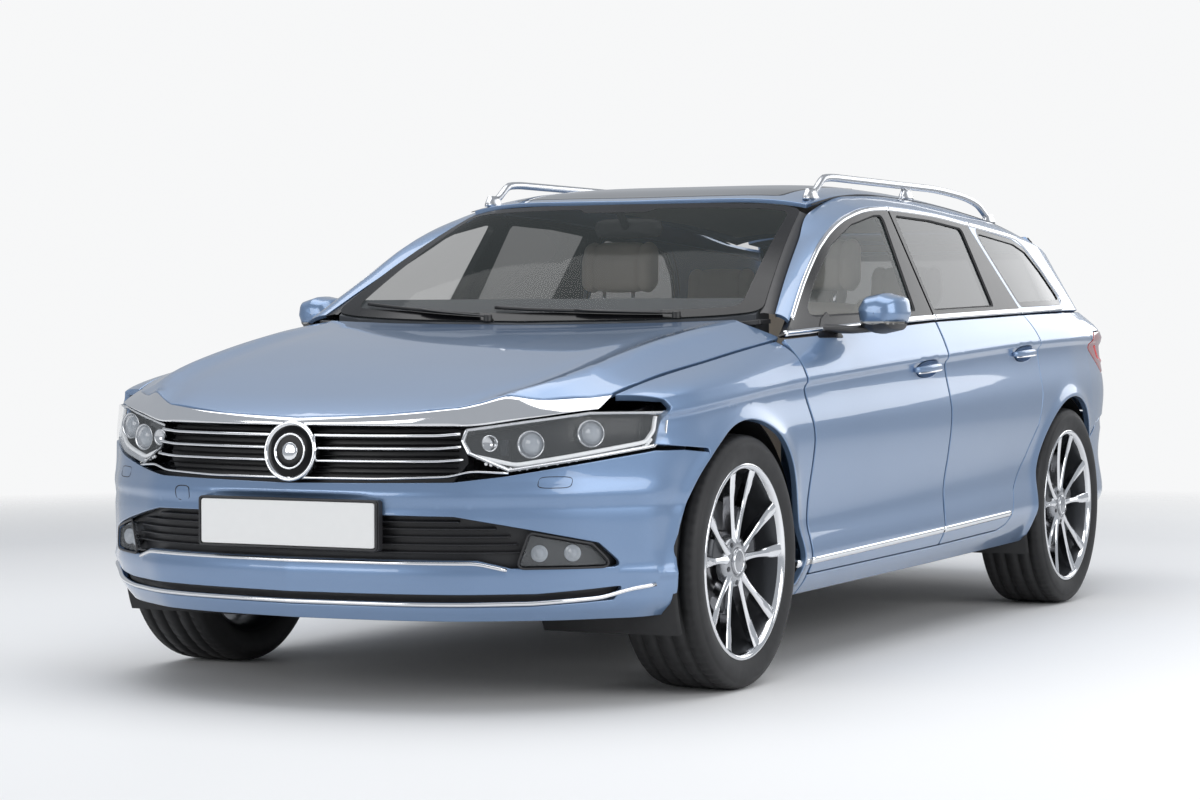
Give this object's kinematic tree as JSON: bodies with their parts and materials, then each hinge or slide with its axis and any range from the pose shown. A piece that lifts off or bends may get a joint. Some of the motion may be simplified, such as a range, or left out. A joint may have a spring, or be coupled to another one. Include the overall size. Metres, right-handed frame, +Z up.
{
  "type": "station wagon",
  "caption": "Full-size estate car with steerable road wheels, opening side doors, bonnet and tailgate, glazed cabin, roof rails and load space.",
  "frame": {"origin": "on the ground, midway along and across the overall box", "axes": "+X forwards, +Y to the car's left, +Z up"},
  "size_m": [4.7655, 2.072, 1.459],
  "materials": {
    "body_paint": "metallic gloss",
    "inner_body": "satin",
    "window": "polished",
    "dark_glass": "gloss",
    "grille_black": "satin",
    "lamp_clear": "clear gloss",
    "lamp_red": "gloss",
    "rail_metal": "satin",
    "trim_black": "satin",
    "seat_cloth": "grained",
    "dash_black": "grained",
    "engine_metal": "cast",
    "chassis_steel": "painted",
    "pipe_steel": "brushed",
    "wheel_alloy": "polished",
    "tyre_rubber": "matte"
  },
  "bodies": {
    "shell": {"body_side_left": "body_paint", "body_side_right": "body_paint", "roof_panel": "body_paint", "roof_glass": "dark_glass", "windscreen": "window", "quarter_glass": "window", "front_wings": "body_paint", "front_structure": "inner_body", "floor": "inner_body", "front_bumper": "body_paint", "upper_grille": "grille_black", "lower_grille": "grille_black", "headlamps": "lamp_clear", "fog_lamps": "lamp_clear", "tail_lamps": "lamp_red", "roof_rails": "rail_metal", "front_seats": "seat_cloth", "rear_bumper": "body_paint", "wipers": "trim_black", "dashboard": "dash_black", "rear_bench": "seat_cloth", "engine": "engine_metal", "exhaust": "pipe_steel", "front_subframe": "chassis_steel", "rear_axle": "chassis_steel"},
    "front_door_leaf_left": {"front_door_left": "body_paint", "front_door_glass_left": "window", "mirror_left": "body_paint"},
    "rear_door_leaf_left": {"rear_door_left": "body_paint", "rear_door_glass_left": "window"},
    "upright_left": {"knuckle_left": "chassis_steel"},
    "wheel_front_left": {"tyre_front_left": "tyre_rubber", "rim_front_left": "wheel_alloy"},
    "wheel_rear_left": {"tyre_rear_left": "tyre_rubber", "rim_rear_left": "wheel_alloy"},
    "front_door_leaf_right": {"front_door_right": "body_paint", "front_door_glass_right": "window", "mirror_right": "body_paint"},
    "rear_door_leaf_right": {"rear_door_right": "body_paint", "rear_door_glass_right": "window"},
    "upright_right": {"knuckle_right": "chassis_steel"},
    "wheel_front_right": {"tyre_front_right": "tyre_rubber", "rim_front_right": "wheel_alloy"},
    "wheel_rear_right": {"tyre_rear_right": "tyre_rubber", "rim_rear_right": "wheel_alloy"},
    "bonnet_lid": {"bonnet": "body_paint"},
    "tailgate_lid": {"tailgate": "body_paint", "tailgate_glass": "window"},
    "hand_wheel": {"steering_wheel": "dash_black"}
  },
  "joints": [
    {"name": "steer_left", "type": "hinge", "parent": "shell", "child": "upright_left", "pos_m": [1.4945, 0.7, 0.345], "axis": [0, 0, 1], "range_deg": [-35, 35]},
    {"name": "steer_right", "type": "hinge", "parent": "shell", "child": "upright_right", "pos_m": [1.4945, -0.7, 0.345], "axis": [0, 0, 1], "range_deg": [-35, 35]},
    {"name": "hand_wheel_turn", "type": "hinge", "parent": "shell", "child": "hand_wheel", "pos_m": [0.48, 0.37, 0.85], "axis": [-0.9135, 0, 0.4067], "range_deg": [-480, 480]},
    {"name": "front_wheel_spin_left", "type": "hinge", "parent": "upright_left", "child": "wheel_front_left", "pos_m": [1.4945, 0.785, 0.345], "axis": [0, 1, 0], "continuous": true},
    {"name": "rear_wheel_spin_left", "type": "hinge", "parent": "shell", "child": "wheel_rear_left", "pos_m": [-1.2965, 0.785, 0.345], "axis": [0, 1, 0], "continuous": true},
    {"name": "front_wheel_spin_right", "type": "hinge", "parent": "upright_right", "child": "wheel_front_right", "pos_m": [1.4945, -0.785, 0.345], "axis": [0, 1, 0], "continuous": true},
    {"name": "rear_wheel_spin_right", "type": "hinge", "parent": "shell", "child": "wheel_rear_right", "pos_m": [-1.2965, -0.785, 0.345], "axis": [0, 1, 0], "continuous": true},
    {"name": "front_door_swing_left", "type": "hinge", "parent": "shell", "child": "front_door_leaf_left", "pos_m": [1.00906, 0.89794, 0.65], "axis": [0, 0, -1], "range_deg": [0, 65]},
    {"name": "rear_door_swing_left", "type": "hinge", "parent": "shell", "child": "rear_door_leaf_left", "pos_m": [-0.08449, 0.90793, 0.65], "axis": [0, 0, -1], "range_deg": [0, 65]},
    {"name": "front_door_swing_right", "type": "hinge", "parent": "shell", "child": "front_door_leaf_right", "pos_m": [1.00906, -0.89794, 0.65], "axis": [0, 0, 1], "range_deg": [0, 65]},
    {"name": "rear_door_swing_right", "type": "hinge", "parent": "shell", "child": "rear_door_leaf_right", "pos_m": [-0.08449, -0.90793, 0.65], "axis": [0, 0, 1], "range_deg": [0, 65]},
    {"name": "bonnet_lift", "type": "hinge", "parent": "shell", "child": "bonnet_lid", "pos_m": [1.03, 0, 0.945], "axis": [0, -1, 0], "range_deg": [0, 55]},
    {"name": "tailgate_lift", "type": "hinge", "parent": "shell", "child": "tailgate_lid", "pos_m": [-1.7515, 0, 1.32768], "axis": [0, 1, 0], "range_deg": [0, 85]}
  ],
  "couplings": [
    {"joint": "steer_right", "follows": "steer_left", "ratio": 1},
    {"joint": "hand_wheel_turn", "follows": "steer_left", "ratio": 13.5}
  ]
}
